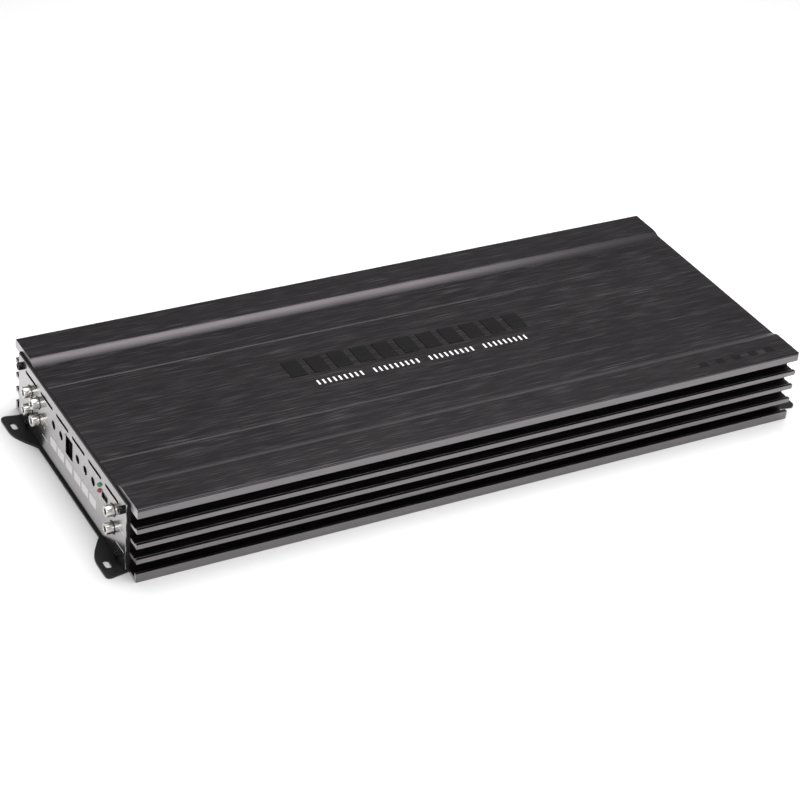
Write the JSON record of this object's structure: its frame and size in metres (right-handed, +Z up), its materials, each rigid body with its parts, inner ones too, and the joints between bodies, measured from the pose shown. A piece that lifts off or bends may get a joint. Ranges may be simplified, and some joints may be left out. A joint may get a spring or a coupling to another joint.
{
  "type": "car amplifier",
  "caption": "Long finned aluminium car amplifier with screw-down ears, an input panel with jacks, trimmers, switches and lamps, and a power panel with screw terminals.",
  "frame": {"origin": "centre of the underside, on the surface that the amplifier is screwed to", "axes": "+X along the extrusion from the input end to the power end, +Y from the front side to the rear side, +Z up"},
  "size_m": [0.572, 0.2256, 0.06],
  "materials": {
    "heatsink_black": "black anodised, brushed on top, with bare machined ends",
    "black_sheet": "black satin coated sheet steel",
    "gasket_rubber": "matt black gasket",
    "panel_silver": "bright satin silver sheet with white printing",
    "black_steel": "black oxide steel",
    "black_plastic": "black moulded plastic",
    "grey_plastic": "grey moulded plastic",
    "nickel": "bright nickel plate",
    "green_lens": "green tinted lamp lens",
    "red_lens": "red tinted lamp lens",
    "circuit_board": "green solder mask on glass laminate",
    "copper_winding": "varnished copper wire",
    "capacitor_sleeve": "shrink sleeve",
    "device_black": "moulded epoxy"
  },
  "bodies": {
    "case": {"heatsink": "heatsink_black", "base_plate": "black_sheet", "input_gasket": "gasket_rubber", "power_gasket": "gasket_rubber", "input_panel": "panel_silver", "power_panel": "panel_silver", "base_screw_1": "black_steel", "base_screw_2": "black_steel", "base_screw_3": "black_steel", "base_screw_4": "black_steel", "input_cap_screw_front": "black_steel", "power_cap_screw_front": "black_steel", "input_low_screw_front": "black_steel", "input_cap_screw_rear": "black_steel", "power_cap_screw_rear": "black_steel", "input_low_screw_rear": "black_steel", "jack_block_rear": "black_plastic", "jack_block_front": "black_plastic", "jack_shell_1": "nickel", "jack_shell_2": "nickel", "jack_shell_3": "nickel", "jack_shell_4": "nickel", "jack_shell_5": "nickel", "jack_shell_6": "nickel", "pot_body_1": "black_plastic", "pot_body_2": "black_plastic", "pot_body_3": "black_plastic", "pot_body_4": "black_plastic", "pot_body_5": "black_plastic", "mode_switch_body": "black_plastic", "mini_switch_body": "black_plastic", "power_lamp": "green_lens", "protect_lamp": "red_lens", "main_board": "circuit_board", "control_board": "circuit_board", "toroid_transformer": "copper_winding", "capacitor_bank": "capacitor_sleeve", "front_output_devices": "device_black", "rear_output_devices": "device_black", "power_terminal_block": "black_plastic", "speaker_terminal_block": "black_plastic"},
    "pot_1": {"pot_shaft_1": "black_plastic"},
    "pot_2": {"pot_shaft_2": "black_plastic"},
    "pot_3": {"pot_shaft_3": "black_plastic"},
    "pot_4": {"pot_shaft_4": "black_plastic"},
    "pot_5": {"pot_shaft_5": "black_plastic"},
    "mode_slider": {"mode_switch_slider": "black_plastic"},
    "mini_slider": {"mini_switch_slider": "grey_plastic"},
    "power_clamp_1": {"power_clamp_screw_1": "black_steel"},
    "power_clamp_2": {"power_clamp_screw_2": "black_steel"},
    "power_clamp_3": {"power_clamp_screw_3": "black_steel"},
    "speaker_clamp_1": {"speaker_clamp_screw_1": "black_steel"},
    "speaker_clamp_2": {"speaker_clamp_screw_2": "black_steel"},
    "speaker_clamp_3": {"speaker_clamp_screw_3": "black_steel"},
    "speaker_clamp_4": {"speaker_clamp_screw_4": "black_steel"},
    "speaker_clamp_5": {"speaker_clamp_screw_5": "black_steel"},
    "speaker_clamp_6": {"speaker_clamp_screw_6": "black_steel"},
    "speaker_clamp_7": {"speaker_clamp_screw_7": "black_steel"},
    "speaker_clamp_8": {"speaker_clamp_screw_8": "black_steel"}
  },
  "joints": [
    {"name": "pot_1_turn", "type": "hinge", "parent": "case", "child": "pot_1", "pos_m": [-0.26865, 0.0313, 0.0366], "axis": [1, 0, 0], "range_deg": [-150, 150]},
    {"name": "pot_2_turn", "type": "hinge", "parent": "case", "child": "pot_2", "pos_m": [-0.26865, 0.0172, 0.0366], "axis": [1, 0, 0], "range_deg": [-150, 150]},
    {"name": "pot_3_turn", "type": "hinge", "parent": "case", "child": "pot_3", "pos_m": [-0.26865, -0.0137, 0.0366], "axis": [1, 0, 0], "range_deg": [-150, 150]},
    {"name": "pot_4_turn", "type": "hinge", "parent": "case", "child": "pot_4", "pos_m": [-0.26865, -0.0278, 0.0366], "axis": [1, 0, 0], "range_deg": [-150, 150]},
    {"name": "pot_5_turn", "type": "hinge", "parent": "case", "child": "pot_5", "pos_m": [-0.26865, -0.0419, 0.0366], "axis": [1, 0, 0], "range_deg": [-150, 150]},
    {"name": "mode_switch_slide", "type": "slide", "parent": "case", "child": "mode_slider", "axis": [0, 0, 1], "range_m": [-0.0035, 0.0035]},
    {"name": "mini_switch_slide", "type": "slide", "parent": "case", "child": "mini_slider", "axis": [0, -1, 0], "range_m": [0, 0.005]},
    {"name": "power_clamp_1_travel", "type": "slide", "parent": "case", "child": "power_clamp_1", "axis": [0, 0, -1], "range_m": [0, 0.006]},
    {"name": "power_clamp_2_travel", "type": "slide", "parent": "case", "child": "power_clamp_2", "axis": [0, 0, -1], "range_m": [0, 0.006]},
    {"name": "power_clamp_3_travel", "type": "slide", "parent": "case", "child": "power_clamp_3", "axis": [0, 0, -1], "range_m": [0, 0.005]},
    {"name": "speaker_clamp_1_travel", "type": "slide", "parent": "case", "child": "speaker_clamp_1", "axis": [0, 0, -1], "range_m": [0, 0.0035]},
    {"name": "speaker_clamp_2_travel", "type": "slide", "parent": "case", "child": "speaker_clamp_2", "axis": [0, 0, -1], "range_m": [0, 0.0035]},
    {"name": "speaker_clamp_3_travel", "type": "slide", "parent": "case", "child": "speaker_clamp_3", "axis": [0, 0, -1], "range_m": [0, 0.0035]},
    {"name": "speaker_clamp_4_travel", "type": "slide", "parent": "case", "child": "speaker_clamp_4", "axis": [0, 0, -1], "range_m": [0, 0.0035]},
    {"name": "speaker_clamp_5_travel", "type": "slide", "parent": "case", "child": "speaker_clamp_5", "axis": [0, 0, -1], "range_m": [0, 0.0035]},
    {"name": "speaker_clamp_6_travel", "type": "slide", "parent": "case", "child": "speaker_clamp_6", "axis": [0, 0, -1], "range_m": [0, 0.0035]},
    {"name": "speaker_clamp_7_travel", "type": "slide", "parent": "case", "child": "speaker_clamp_7", "axis": [0, 0, -1], "range_m": [0, 0.0035]},
    {"name": "speaker_clamp_8_travel", "type": "slide", "parent": "case", "child": "speaker_clamp_8", "axis": [0, 0, -1], "range_m": [0, 0.0035]}
  ]
}
